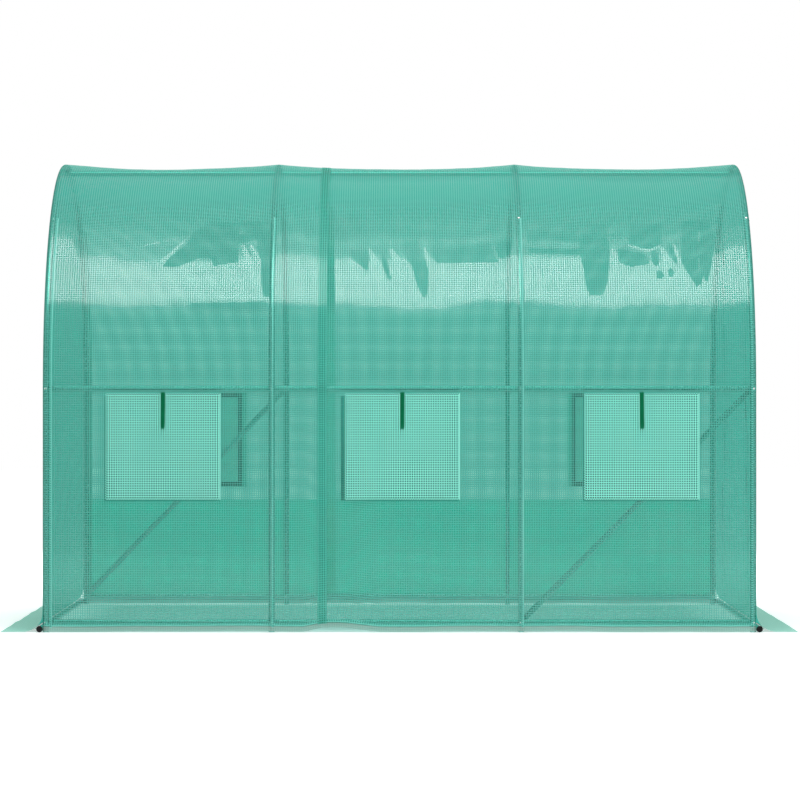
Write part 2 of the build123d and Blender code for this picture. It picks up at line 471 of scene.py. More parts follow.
TIPPED_RIGHT = (
    ((-0.006, 39.7), (0.011, 35.8), (0.049, 31.6), (0.074, 25.8), (0.099, 22.6), (0.120, 23.4),
     (0.127, 30.4), (0.109, 35.8), (0.083, 39.7)),
    ((0.130, 39.1), (0.395, 39.1), (0.410, 34.0), (0.427, 32.5), (0.155, 32.5), (0.134, 35.2)),
    ((0.372, 47.8), (0.488, 47.8), (0.488, 38.1), (0.470, 34.9), (0.440, 33.4), (0.415, 34.3),
     (0.399, 38.1)),
    ((0.548, 47.8), (0.767, 47.8), (0.762, 39.1), (0.544, 39.1)),
    ((0.547, 37.0), (0.765, 36.8), (0.764, 35.1), (0.547, 35.5)),
    ((0.766, 46.2), (0.768, 34.9), (0.783, 31.0), (0.793, 25.3), (0.809, 23.4), (0.860, 23.6),
     (0.883, 27.5), (0.895, 37.1), (0.886, 46.2)),
    ((0.935, 37.1), (1.024, 35.7), (1.065, 34.0), (1.056, 32.5), (0.987, 31.6), (0.937, 32.8)),
    ((0.985, 46.2), (1.135, 46.2), (1.111, 38.7), (1.067, 37.3), (1.025, 37.6), (0.979, 39.1)),
    ((1.075, 36.5), (1.092, 36.2), (1.103, 34.0), (1.098, 31.9), (1.081, 32.2), (1.070, 34.3)),
    ((1.092, 30.1), (1.109, 30.4), (1.121, 28.9), (1.108, 28.1), (1.091, 28.6)),
    ((1.144, 30.7), (1.156, 31.0), (1.164, 29.5), (1.151, 28.4), (1.143, 29.2)),
    ((1.145, 38.1), (1.161, 37.4), (1.180, 34.0), (1.174, 32.2), (1.159, 34.6)),
    ((1.208, 47.0), (1.200, 32.8), (1.224, 29.8), (1.259, 26.1), (1.276, 26.7), (1.287, 29.5),
     (1.302, 27.2), (1.317, 30.4), (1.335, 35.8), (1.352, 41.1), (1.324, 47.0)),
)
# Narrow creases whose lower side tips down: from, to and half width
DIPPED = (
    ((-1.085, 38.4), (-0.908, 41.1), 0.008), ((-0.905, 41.0), (-1.001, 33.1), 0.010),
    ((-0.667, 37.8), (-0.626, 30.4), 0.007), ((-0.633, 37.8), (-0.597, 32.8), 0.007),
    ((-0.678, 42.2), (-0.668, 42.3), 0.009), ((-0.130, 36.8), (-0.098, 32.5), 0.008),
    ((-0.036, 36.8), (-0.010, 33.0), 0.010), ((-0.066, 41.8), (-0.036, 38.8), 0.009),
    ((0.104, 37.4), (0.130, 32.2), 0.007), ((0.909, 36.8), (0.911, 32.8), 0.008),
    ((0.974, 38.4), (1.058, 36.5), 0.006), ((1.058, 36.5), (1.110, 37.8), 0.006),
    ((1.120, 37.0), (1.143, 31.5), 0.010), ((1.171, 38.7), (1.187, 32.8), 0.006),
    ((1.281, 42.5), (1.278, 39.2), 0.006), ((1.273, 34.0), (1.273, 28.1), 0.006),
)
# How far outlines tip the film and narrow creases dip it, and an outline's soft edge
TIP = 0.36
DIP = 0.15
CREASE_SOFT = 0.006
# Slope of the film just inside the left and right end hoops
LEFT_SLOPE, RIGHT_SLOPE = 0.119, 0.059


def off_line(x, y, start, end):
    """Distance of places from a straight line between two points."""
    (ax, ay), (bx, by) = start, end
    run = max((bx - ax) ** 2 + (by - ay) ** 2, 1e-9)
    t = np.clip(((x - ax) * (bx - ax) + (y - ay) * (by - ay)) / run, 0, 1)
    return np.hypot(x - ax - t * (bx - ax), y - ay - t * (by - ay))


def outline_share(x, y, corners, soft):
    """1 inside an outline, 0 outside, with a soft edge."""
    inside = np.zeros(x.shape, dtype=bool)
    near = np.full(x.shape, np.inf)
    for (ax, ay), (bx, by) in zip(corners, corners[1:] + corners[:1]):
        crosses = (ay > y) != (by > y)
        level = (y - ay) / (by - ay) if by != ay else np.zeros_like(y)
        inside ^= crosses & (x < ax + level * (bx - ax))
        near = np.minimum(near, off_line(x, y, (ax, ay), (bx, by)))
    return ease(np.where(inside, near, -near), -soft, soft)


def film_lean(x, angle):
    """How far the creases tip the film's face, as vectors, the same on both sides of the roof."""
    front = np.minimum(angle, 180 - angle)
    up = np.radians(front) * FILM
    tip = np.zeros(x.shape)
    dip = np.zeros(x.shape)
    for way, outlines in ((-1, TIPPED_LEFT), (1, TIPPED_RIGHT)):
        for outline in outlines:
            corners = [(a, math.radians(b) * FILM) for a, b in outline]
            share = outline_share(x, up, corners, CREASE_SOFT)
            tip = np.where(np.abs(tip) < share, way * share, tip)
    for start, end, half in DIPPED:
        ends = [(a, math.radians(b) * FILM) for a, b in (start, end)]
        dip = np.maximum(dip, np.exp(-((off_line(x, up, *ends) / half) ** 2)))
    tip = TIP * tip * (1 - dip)
    dip = DIP * dip
    slope = np.where(x < 0, LEFT_SLOPE, RIGHT_SLOPE) * ease(np.abs(x), 1.372, 1.395)
    dip = np.maximum(dip, slope * ease(front, 25.0, 33.0) * (1 - ease(front, 43.0, 48.0)))
    turn = np.radians(angle)
    back = np.where(angle > 90, -1.0, 1.0)
    return np.stack([tip, -dip * np.sin(turn) * back, -dip * np.cos(turn) * back], -1)


# How far the cover departs from the hoops' outer face, in metres
SAG = 0.0225
TENT_DROP = 0.0028
TENT_WIDTH = 0.0100
BROAD_WAVE = 0.0018
SMALL_WAVE = 0.0003
WALL_WAVE = 0.0032
BOLT_LIFT = 0.0014
BOLT_WIDTH = 0.0085
RIDGE_DROP = 0.0243
MOST_OUT = 0.0045
HEM_FLARE = 0.0085
# Heights of the hem's top edge, of the flare above it and of the apron
HEM_TOP = 0.017
FLARE_TOP = 0.030
APRON_TOP = 0.496
DEGREES_A_RADIAN = 57.3


def cover_shape(x, angle, height):
    """How far the cover stands out from the hoops, at an arch angle in degrees and a wall height."""
    roof = np.sin(np.radians(np.clip(angle, 0, 180)))
    sag = bay_sag(x)
    off_hoop = np.abs(x[..., None] - np.array(HOOPS)).min(-1)
    out = -SAG * roof**1.4 * sag
    tent = 1 - np.exp(-((off_hoop / TENT_WIDTH) ** 2))
    out = out - TENT_DROP * tent * (1 - ease(roof, 0.80, 0.98))
    turn = angle / DEGREES_A_RADIAN
    broad = waves(x, turn + height, seed=5, count=7, low=0.35, high=0.9)
    out = out + BROAD_WAVE * broad * np.clip(sag * 2, 0, 1) * (0.35 + 0.65 * roof)
    small = waves(x, turn, seed=11, count=9, low=0.06, high=0.16)
    out = out + SMALL_WAVE * small * np.clip(sag * 3, 0, 1) * roof
    wall = np.clip(1 - roof * 4, 0, 1)
    low_edge = np.exp(-height / 0.16)
    ripple = waves(x, height * 0.4, seed=8, count=6, low=0.25, high=0.8) * (0.4 + 0.9 * low_edge)
    out = out + wall * WALL_WAVE * ripple * np.clip(sag * 2.5, 0.15, 1)
    for bolt_angle in BOLT_ANGLES:
        up = np.radians(angle - bolt_angle) * FILM
        out = out + BOLT_LIFT * np.exp(-((off_hoop / BOLT_WIDTH) ** 4) - (up / BOLT_WIDTH) ** 4)
    ridge = -RIDGE_DROP - 0.02 * ease(np.abs(angle - 90), 1.5, 9.0)
    return np.clip(out, ridge, MOST_OUT)


def hem_height(x, side):
    """Height of a hem's bottom edge above the ground. The front hem is lifted beside the seam."""
    height = 0.004 + 0.0014 * np.sin(x * 5.1 + side) + 0.0010 * np.sin(x * 13.7 + 2 * side)
    if side == FRONT:
        height = height + 0.017 * ease(x, -0.42, -0.31) * (1 - ease(x, -0.27, -0.06))
    return np.clip(height, 0.0012, None)


def wrap(x):
    """Place along the tunnel, and drop, of a cover that turns down over the end hoops."""
    over = np.clip(np.abs(x) - END_HOOP, 0, None)
    turn = over / TURN
    place = np.where(over > 0, END_HOOP + TURN * np.sin(turn), np.abs(x))
    drop = np.where(over > 0, TURN * (1 - np.cos(turn)), 0.0)
    return np.sign(x) * place, drop


def cover_points(x, s, lift=0.0):
    """Points of the cover for places x along it and s up its section, lifted out by lift.

    s runs from 0 at the front hem, over the arch from LEG on, to SECTION at the back hem."""
    angle = np.degrees(np.clip((s - LEG) / FILM, 0, math.pi))
    front = s < LEG
    back = s > LEG + ARCH
    wall = front | back
    height = np.where(front, s, np.where(back, SECTION - s, LEG))
    low = np.where(front, hem_height(x, FRONT), hem_height(x, BACK))
    height = np.where(wall, low + height * (LEG - low) / LEG, height)
    px, drop = wrap(x)
    out = cover_shape(np.clip(x, -END_HOOP, END_HOOP), angle, height) + lift - drop
    flare = HEM_FLARE * np.clip(1 - height / FLARE_TOP, 0, 1) ** 1.3
    reach = FILM + (out + np.where(wall, flare, 0.0))
    turn = np.radians(angle)
    y = np.where(front, -reach, np.where(back, reach, -reach * np.cos(turn)))
    z = np.where(wall, height, LEG + reach * np.sin(turn))
    return np.stack([px, y, z], -1)


def window_spans(side):
    """(low x, high x) of the three window openings of one wall."""
    return [(c + SHIFT[side] - WINDOW_W / 2, c + SHIFT[side] + WINDOW_W / 2) for c in WINDOWS]


# Where the cover's grid is finer: beside the hoops, and over the creases
HOOP_NEAR = 0.022
CREASED_X = (-1.10, 1.36)
CREASED_UP = (0.30, 0.88)


def x_step(m):
    """Column spacing: finest round the hoops, fine over the creased parts."""
    if np.abs(m - np.array(HOOPS)).min() < HOOP_NEAR:
        return 0.0032
    return 0.0072 if CREASED_X[0] < m < CREASED_X[1] else 0.014


def s_step(m):
    """Row spacing: fine on the creased front of the roof, coarse elsewhere."""
    if m < LEG or m > LEG + ARCH:
        return 0.040
    return 0.0095 if CREASED_UP[0] < m - LEG < CREASED_UP[1] else 0.034


x_breaks = [-END_HOOP - WRAP, *HOOPS, END_HOOP + WRAP, *SEAM, *CREASED_X]
for side in (FRONT, BACK):
    for span in window_spans(side):
        x_breaks += span
for hoop in HOOPS:
    x_breaks += [max(hoop - HOOP_NEAR, -END_HOOP), min(hoop + HOOP_NEAR, END_HOOP)]
xs = stations(x_breaks, x_step)
wall_breaks = [HEM_TOP, FLARE_TOP, WINDOW_LOW, WINDOW_HIGH]
s_breaks = [*wall_breaks, LEG, *[LEG + up for up in CREASED_UP], LEG + ARCH]
s_breaks += [SECTION - height for height in wall_breaks]
for bolt_angle in BOLT_ANGLES:
    s_breaks += [LEG + math.radians(bolt_angle) * FILM + d for d in (-0.012, -0.006, 0.0, 0.006, 0.012)]
ss = stations(s_breaks, s_step)
grid_s, grid_x = grids(ss, xs)
points = cover_points(grid_x, grid_s)
mid_x = middles(xs)
mid_s = middles(ss)
keep = np.ones((len(mid_s), len(mid_x)), dtype=bool)
for side, rise in ((FRONT, mid_s), (BACK, SECTION - mid_s)):
    rows = (rise > WINDOW_LOW) & (rise < WINDOW_HIGH)
    for a, b in window_spans(side):
        keep[np.ix_(rows, (mid_x > a) & (mid_x < b))] = False
cover = grid_object("tunnel_cover", points, (grid_x, grid_s), film, keep)
lean = cover.data.attributes.new("lean", "FLOAT_VECTOR", "POINT")
places = np.array([v.co for v in cover.data.vertices])
turns = np.degrees(np.arctan2(places[:, 2] - LEG, -places[:, 1]))
leaning = film_lean(places[:, 0], np.clip(turns, 0, 180))
lean.data.foreach_set("vector", leaning.astype(np.float32).ravel())
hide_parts("front_wall_cover", "back_wall_cover", *[f"roof_cover_{i}" for i in range(1, 7)])
attach(cover)


# Strips that lie on the cover: seams, welts and painted highlights, hems and the apron


def cover_strip(name, rows, columns, lift, shift, mat):
    """A strip of film on rows up the cover's section and columns along it."""
    gs, gx = grids(rows, columns)
    uvs = (gx + shift[0], gs + shift[1])
    strip = grid_object(name, cover_points(gx, gs, lift), uvs, mat)
    attach(strip)
    return strip


# The lapped seam over the cover, a second layer of film
seam_columns = stations(SEAM, 0.0063)
crest_row = ss[ss <= CREST].max()
strips = [
    cover_strip("front_seam", ss[ss <= crest_row], seam_columns, 0.0012, (0.004, 0.003), seam_film),
    # The back half takes the lighter back film, painted light from behind
    cover_strip("back_seam", ss[ss >= crest_row], seam_columns, 0.0012, (0.004, 0.003), lighter_back_flap_film),
]

# Strips of lighter film along the hoops' legs and haunches that paint highlights on the hoops; at the end
# hoops they are welts as well
haunch = math.radians(HAUNCH_ANGLE) * FILM
front_rows = ss[ss <= LEG + haunch]
back_rows = ss[ss >= LEG + ARCH - haunch]
left_highlight_columns = (-1.4705, -1.4665, -1.4625)
right_highlight_columns = (1.4795, 1.4830, 1.4865)
for name, rows, columns in (
    ("front_left_welt_highlight", front_rows, left_highlight_columns),
    ("front_right_welt_highlight", front_rows, right_highlight_columns),
    ("front_second_hoop_highlight", front_rows, (-0.5370, -0.5330, -0.5290)),
    ("front_third_hoop_highlight", front_rows, (0.5140, 0.5180, 0.5220)),
    ("back_left_welt_highlight", back_rows, left_highlight_columns),
    ("back_right_welt_highlight", back_rows, right_highlight_columns),
):
    strips.append(cover_strip(name, rows, columns, 0.0010, (0.003, 0.002), painted_highlight_film))

# The hem along the bottom edge of each wall, whose pale grey-green paints the shaded floor seen under it,
# and a strip of painted highlight on the fold just above it
hem_rows = np.array([0.0, 0.006, 0.012, HEM_TOP, HEM_TOP + 0.004])
fold_rows = np.array([0.0235, 0.0290, 0.0345])
for part, rows, mat in (("hem", hem_rows, floor_shade_hem), ("hem_fold_highlight", fold_rows, painted_highlight_film)):
    for side, side_name in SIDES:
        up = rows if side == FRONT else SECTION - rows
        strips.append(cover_strip(f"{side_name}_{part}", up, xs, 0.0010, (0.002, 0.004), mat))

# The second layer on the lower part of the back wall
apron_rows = SECTION - stations([HEM_TOP, FLARE_TOP, APRON_TOP], 0.034)
strips.append(cover_strip("back_apron", apron_rows, xs, 0.0022, (0.0041, 0.0046), apron_film))


# End sheets: flat over the end hoop, bent out over the crossbar and laid on the ground
LEFT, RIGHT = -1, 1
END_SEED = {LEFT: 21, RIGHT: 33}
END_GAP = 0.0010
GROUND_GAP = 0.0008
# Up to this height a sheet lies on the ground and takes the skirt film, a lighter copy of the end film that
# paints the light falling on it from above
SKIRT_TOP = 0.030
# Heights of the waves in a sheet
END_SWELL = 0.008
END_CREASE = 0.0016
SKIRT_RIPPLE = 0.0012
SKIRT_EDGE = 0.0008
# Lengths up a sheet: its skirt, the bend, from a height to its place, and the whole
FLAT = SKIRT_END - HALF_LENGTH - BEND
BEND_LENGTH = BEND * math.pi / 2
RISE = FLAT + BEND_LENGTH - BEND


def end_path(q):
    """(distance out from the hoop's face, height) for a place q up from the skirt's outer edge."""
    turn = np.clip((q - FLAT) / BEND, 0, math.pi / 2)
    out = np.where(q < FLAT, SKIRT_END - HALF_LENGTH - q, BEND * (1 - np.sin(turn)))
    upright = BEND + q - FLAT - BEND_LENGTH
    bent = np.where(q < FLAT + BEND_LENGTH, BEND * (1 - np.cos(turn)), upright)
    return out, np.where(q < FLAT, 0.0, bent)


def end_rows():
    """Places up an end sheet, closer together on the bend and round the arch."""
    low = stations([0.0, FLAT], 0.012)
    bend = stations([FLAT, RISE + BEND], 0.010)[1:]
    wall = stations([RISE + BEND, RISE + LEG], 0.022)[1:]
    arch = [RISE + LEG + HOOP * math.sin(math.radians(a)) for a in np.arange(1.5, 90.1, 1.5)]
    return np.concatenate([low, bend, wall, arch])


def end_half(height):
    """Half width of an end sheet at a height."""
    rise = np.clip((height - LEG) / HOOP, 0, 1)
    arch = HOOP * np.sqrt(np.clip(1 - rise**2, 0, 1))
    return np.where(height > LEG, arch, HOOP + TUBE * (1 - ease(height, 0.06, 0.16)))


def end_points(q, y, end, lift=0.0):
    """Points of an end sheet at places q up it and y across it, lifted off it by lift."""
    out, height = end_path(q)
    seed = END_SEED[end]
    edge = np.clip((end_half(height) - np.abs(y)) / 0.25, 0, 1)
    broad = waves(y, height, seed, count=6, low=0.5, high=1.4)
    swell = END_SWELL * broad * edge * ease(height, 0.15, 0.5)
    fine = waves(y, height * 0.5, seed + 3, count=8, low=0.05, high=0.16)
    crease = END_CREASE * fine * edge * ease(height, 0.1, 0.3)
    loose = waves(y, q * 0.6, seed + 5, count=5, low=0.16, high=0.5)
    ripple = SKIRT_RIPPLE * (1 + loose) * (1 - ease(height, 0.02, 0.10))
    flat = (1 - ease(height, 0.0, 0.01)) * ease(FLAT - q, 0.0, 0.05)
    edge_wave = SKIRT_EDGE * waves(y, q * 0, seed + 7, count=4, low=0.3, high=0.9) * flat
    x = end * (HALF_LENGTH + END_GAP + out + swell + crease + lift + edge_wave)
    z = height + np.abs(ripple) * np.where(height < 0.02, 1.0, 0.4) + lift * flat + GROUND_GAP
    return np.stack([x, y, z], -1)


def end_sheet(name, end, y_breaks, doorway=False, only_door=False):
    """A sheet over one end, cut to the arch: whole, with a doorway in it, or only the door."""
    q = end_rows()
    if doorway or only_door:
        q = np.unique(np.concatenate([q, [RISE + DOOR_TOP]]))
    y = stations(y_breaks, 0.026)
    gq, gy = grids(q, y)
    half = end_half(end_path(gq)[1])
    gy = np.clip(gy, -half, half)
    points = end_points(gq, gy, end)
    mid_q = middles(q)
    mid_y = middles(y)
    in_door = (mid_q < RISE + DOOR_TOP)[:, None] & (np.abs(mid_y) < DOOR)[None, :]
    keep = np.ones((len(mid_q), len(mid_y)), dtype=bool)
    if doorway:
        keep &= ~in_door
    if only_door:
        keep &= in_door
    # Cells that the arch squeezes to nothing are left out
    width = np.diff(gy, axis=1)
    keep &= (width[:-1] + width[1:]) > 1e-6
    obj = grid_object(name, points, (gy, gq), end_film, keep)
    obj.data.materials.append(lit_skirt_film)
    finishes = [int(face.center.z < SKIRT_TOP) for face in obj.data.polygons]
    obj.data.polygons.foreach_set("material_index", finishes)
    work = bmesh.new()
    work.from_mesh(obj.data)
    bmesh.ops.remove_doubles(work, verts=work.verts, dist=1e-5)
    work.to_mesh(obj.data)
    work.free()
    return obj


left_end = end_sheet("left_end_sheet", LEFT, [-HALF_WIDTH, HALF_WIDTH])
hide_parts("left_end_cover", "left_ground_skirt")
right_end = end_sheet("right_end_sheet", RIGHT, [-HALF_WIDTH, -DOOR, DOOR, HALF_WIDTH], doorway=True)
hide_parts("right_end_cover", "right_ground_skirt")
for sheet, crown, crossbar in (
    (left_end, "hoop_1_crown", "left_crossbar"),
    (right_end, "hoop_4_crown", "right_crossbar"),
):
    attach(sheet)


# The door in the right end, with a zip down each side


def zip_tapes(name, y):
    """The two tapes of a zip down one edge of the door."""
    q = end_rows()
    q = np.append(q[(q > RISE + BEND - 0.001) & (q < RISE + DOOR_TOP)], RISE + DOOR_TOP)
    columns = y + np.array([-0.014, -0.007, 0.0, 0.007, 0.014])
    gq, gy = grids(q, columns)
    return grid_object(name, end_points(gq, gy, RIGHT, 0.0014), (gy, gq), zip_tape)


def zip_chain(name, y):
    """The teeth of a zip, its slider and its pull."""
    q = np.arange(RISE + BEND + 0.004, RISE + DOOR_TOP - 0.004, 0.0026)
    shift = np.where(np.arange(len(q)) % 2, 0.0011, -0.0011)
    corners = []
    for lift in (0.0016, 0.0032):
        for dq, dy in ((-0.0008, -0.0017), (-0.0008, 0.0017), (0.0008, 0.0017), (0.0008, -0.0017)):
            corners.append(end_points(q + dq, y + shift + dy, RIGHT, lift))
    verts = np.stack(corners, 1).reshape(-1, 3).tolist()
    box = ((0, 3, 2, 1), (4, 5, 6, 7), (0, 1, 5, 4), (1, 2, 6, 5), (2, 3, 7, 6), (3, 0, 4, 7))
    faces = [tuple(8 * k + i for i in face) for k in range(len(q)) for face in box]
    seat = Vector(end_points(np.array(RISE + 0.16), np.array(y), RIGHT, 0.0034).tolist())
    slider = ((0.0, 0.0050), (0.0012, 0.0062), (0.0034, 0.0062), (0.0046, 0.0046))
    tail = ((0.0, 0.0040), (0.0010, 0.0048), (0.0030, 0.0048), (0.0040, 0.0036))
    prism(verts, faces, seat, (1, 0, 0), slider, 8)
    prism(verts, faces, seat + Vector((0.0006, 0, -0.0052)), (1, 0, 0), tail, 8)
    pull = [(-0.0028, -0.006), (0.0028, -0.006), (0.0038, -0.012), (0.0042, -0.032),
            (0.0030, -0.036), (-0.0030, -0.036), (-0.0042, -0.032), (-0.0038, -0.012)]
    start, count = len(verts), len(pull)
    for out in (0.0048, 0.0064):
        verts.extend(seat + Vector((out, a, b)) for a, b in pull)
    faces.append(tuple(start + k for k in range(count)))
    faces.append(tuple(start + count + k for k in reversed(range(count))))
    for k in range(count):
        a = start + k
        b = start + (k + 1) % count
        faces.append((a, b, b + count, a + count))
    return make_object(name, verts, faces, zip_teeth, smooth=False)


door = end_sheet("door_sheet", RIGHT, [-DOOR, DOOR], only_door=True)
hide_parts("zipped_door")
attach(door)
zips = []
for side, side_name in SIDES:
    zips.append(zip_tapes(f"{side_name}_zip_tapes", side * DOOR))
    zips.append(zip_chain(f"{side_name}_zip_chain", side * DOOR))
for obj in zips:
    attach(obj)


# Window flaps, straps, screens, the dark tape round each screen, and strips of painted shadow under the
# front flaps

# A flap's turned edge, and how far it stands off the wall, bows, leans out and waves
FLAP_EDGE = 0.004
FLAP_GAP = 0.0026
FLAP_BOW = 0.0030
FLAP_LEAN = 0.0018
FLAP_WAVE = 0.0011
STRAP_W, STRAP_LENGTH = 0.017, 0.153
PATCH_STEP = 0.02


def wall_out(side, x, height):
    """Distance of the wall's cover from the middle of the tunnel."""
    s = height if side == FRONT else SECTION - height
    return np.abs(cover_points(x, s)[..., 1])


def flap_piece(name, side, centre, seed, lifted):
    """A window flap, a little bowed, with its left edge lifted, and its grid of points and places."""
    edge_x = FLAP_W / 2 - FLAP_EDGE
    x = stations([-FLAP_W / 2, -edge_x, edge_x, FLAP_W / 2], 0.011) + centre
    t = stations([0.0, FLAP_EDGE, FLAP_H - FLAP_EDGE, FLAP_H], 0.011)
    gt, gx = grids(t, x)
    z = FLAP_TOP - gt
    u = (gx - centre) / (FLAP_W / 2)
    v = gt / FLAP_H
    wall = wall_out(side, np.clip(gx, -END_HOOP, END_HOOP), z)
    out = FLAP_GAP + FLAP_BOW * (1 - u**2) * np.sin(math.pi * np.clip(v, 0, 1)) + FLAP_LEAN * v
    out = out + FLAP_WAVE * waves(gx, gt, seed, count=7, low=0.12, high=0.4) * np.clip(v * 4, 0, 1)
    out = out + lifted * ease(-u, 0.45, 1.0) * ease(v, 0.05, 0.9)
    out = np.clip(out, 0.0022, None)
    place = np.maximum(wall, FILM - 0.004) + out
    points = np.stack([gx, side * place, z], -1)
    # Back flaps take the lighter copy of the flap film, painted light from behind
    mat = flap_film if side == FRONT else lighter_back_flap_film
    return grid_object(name, points, (gx, gt), mat), points, gx, gt


def border_strip(name, side, points, gx, gt):
    """The turned edges of a flap, a second layer all round it."""
    x, t = gx[0], gt[:, 0]
    mid_x = middles(x)
    mid_t = middles(t)
    near_x = (mid_x < x[0] + FLAP_EDGE) | (mid_x > x[-1] - FLAP_EDGE)
    near_t = (mid_t < t[0] + FLAP_EDGE) | (mid_t > t[-1] - FLAP_EDGE)
    keep = near_t[:, None] | near_x[None, :]
    moved = points.copy()
    moved[..., 1] += side * 0.0009
    return grid_object(name, moved, (gx + 0.0045, gt + 0.0042), hem_film, keep)


def painted_shadow_strip(name, side, centre, margin):
    """A dark strip of painted shadow under a flap's left and lower edges, which shows past the left by a
    margin.
    """
    left = centre - FLAP_W / 2 - margin
    low = FLAP_TOP - FLAP_H - 0.004
    inner_x = left + margin + 0.012
    inner_z = low + 0.016
    x = stations([left, inner_x, centre + FLAP_W / 2 - 0.004], PATCH_STEP)
    z = stations([low, inner_z, FLAP_TOP - 0.012], PATCH_STEP)
    gz, gx = grids(z, x)
    keep = (middles(z) < inner_z)[:, None] | (middles(x) < inner_x)[None, :]
    points = np.stack([gx, side * (wall_out(side, gx, gz) + 0.0016), gz], -1)
    return grid_object(name, points, (gx, gz), painted_shadow_film, keep)


def strap_piece(name, side, centre, seed, points, gx, gt):
    """A webbing strap hanging down the outside of a flap from its top edge."""
    rows, columns = 26, 4
    verts, faces, uvs = [], [], []
    sway = np.random.default_rng(seed).uniform(-0.003, 0.003)
    for layer in (0, 1):
        for i in range(rows + 1):
            t = i / rows
            z = FLAP_TOP + 0.004 - t * STRAP_LENGTH
            row = min(int(np.searchsorted(gt[:, 0], max(FLAP_TOP - z, 0.0))), gt.shape[0] - 1)
            bow = 0.0022 * math.sin(t * 2.6) * t
            ripple = 0.0004 * math.sin(9 * t + seed)
            for j in range(columns + 1):
                x = centre + (j / columns - 0.5) * STRAP_W + sway * t * t
                column = min(int(np.searchsorted(gx[0], x)), gx.shape[1] - 1)
                face = abs(points[row, column, 1])
                out = 0.0012 + 0.0016 * layer + bow + ripple
                verts.append((x, side * (face + out), z))
                uvs.append(((j / columns) * STRAP_W, t * STRAP_LENGTH))
    line = columns + 1
    top = (rows + 1) * line
    for i in range(rows):
        for j in range(columns):
            a = i * line + j
            quad = (a, a + 1, a + line + 1, a + line)
            faces.append(tuple(top + k for k in quad))
            faces.append(quad[::-1])
    for i in range(rows):
        for a in (i * line, i * line + columns):
            faces.append((a, a + line, top + a + line, top + a))
    for j in range(columns):
        for a in (j, rows * line + j):
            faces.append((a, a + 1, top + a + 1, top + a))
    return make_object(name, verts, faces, webbing, uvs, smooth=False)


def window_screen(name, side, centre):
    """The mesh screen lapped behind a window opening."""
    x = stations([-WINDOW_W / 2 - SCREEN_LAP, WINDOW_W / 2 + SCREEN_LAP], PATCH_STEP) + centre
    z = stations([WINDOW_LOW - SCREEN_LAP, WINDOW_HIGH + SCREEN_LAP], PATCH_STEP)
    gz, gx = grids(z, x)
    wall = wall_out(side, gx, gz) - 0.0012
    u = (gx - centre) / (WINDOW_W / 2)
    v = (gz - WINDOW_MIDDLE) / (WINDOW_H / 2)
    slack = 0.002 * np.clip(1 - u**2, 0, 1) * np.clip(1 - v**2, 0, 1)
    points = np.stack([gx, side * (wall - slack), gz], -1)
    return grid_object(name, points, (gx, gz), screen_mesh)


def tape_frame(name, side, centre):
    """The dark border sewn round a screen on the inside."""
    outer_x, outer_z, width = 0.2225, 0.2190, 0.019
    inner_x, inner_z = outer_x - width, outer_z - width
    x = stations([-outer_x, -inner_x, inner_x, outer_x], PATCH_STEP) + centre
    z = stations([-outer_z, -inner_z, inner_z, outer_z], PATCH_STEP) + WINDOW_MIDDLE
    gz, gx = grids(z, x)
    mid_x = middles(x) - centre
    mid_z = middles(z) - WINDOW_MIDDLE
    hole = (np.abs(mid_z) < inner_z)[:, None] & (np.abs(mid_x) < inner_x)[None, :]
    points = np.stack([gx, side * (wall_out(side, gx, gz) - 0.0026), gz], -1)
    return grid_object(name, points, (gx, gz), screen_tape, ~hole)


for side, side_name in SIDES:
    for number, window in enumerate(WINDOWS):
        centre = window + SHIFT[side]
        tag = f"{side_name}_{('left', 'middle', 'right')[number]}"
        # The middle flap lifts most, and its strip of painted shadow shows most
        lifted, margin = (0.018, 0.018) if number == 1 else (0.003, 0.004)
        seed = 40 + number + 3 * (side == BACK)
        flap, flap_points, gx, gt = flap_piece(f"{tag}_flap", side, centre, seed, lifted)
        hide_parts(f"{side_name}_window_flaps")
        border = border_strip(f"{tag}_flap_border", side, flap_points, gx, gt)
        strap = strap_piece(f"{tag}_strap", side, centre, 60 + number, flap_points, gx, gt)
        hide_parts(f"{side_name}_flap_straps")
        screen = window_screen(f"{tag}_screen", side, centre)
        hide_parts(f"{side_name}_window_screens")
        tape = tape_frame(f"{tag}_window_tape", side, centre)
        # Only the front flaps get a strip of painted shadow
        if side == FRONT:
            flap_shadow = painted_shadow_strip(f"{tag}_painted_flap_shadow", side, centre, margin)
            attach(flap_shadow)
        attach(flap)
        attach(border)
        attach(strap)
        attach(screen)
        attach(tape)


# Bolts, nuts and caps, as rings of (height, radius)
WASHER = ((0.0, 0.0065), (0.0010, 0.0065), (0.0012, 0.0062))
NUT = ((0.0, 0.0052), (0.0005, 0.0058), (0.0045, 0.0058), (0.0050, 0.0052))
BOLT_END = ((0.0, 0.0030), (0.0032, 0.0030), (0.0038, 0.0024))
CAP = ((0.0, 0.0118), (0.0006, 0.0136), (0.0026, 0.0136), (0.0034, 0.0122), (0.0040, 0.0070))
CAP_OUT, CAP_HEIGHT = 1.0056, 0.0138
HEAD_RADIUS = 0.0055
HEAD_TURNS = (0, 20, 40, 60, 78)


def fasteners(name, ends, heads):
    """One piece from nut ends (base, axis) and domed heads (base, axis, height)."""
    verts, faces = [], []
    for base, axis in ends:
        axis = Vector(axis).normalized()
        for level, rings, count in ((0.0, WASHER, 24), (0.0012, NUT, 6), (0.0062, BOLT_END, 14)):
            prism(verts, faces, Vector(base) + axis * level, axis, rings, count)
    for base, axis, height in heads:
        dome = [(height * math.sin(t), HEAD_RADIUS * math.cos(t)) for t in np.radians(HEAD_TURNS)]
        prism(verts, faces, base, axis, dome, 20)
    attach(make_object(name, verts, faces, bolt_steel, smooth=False))


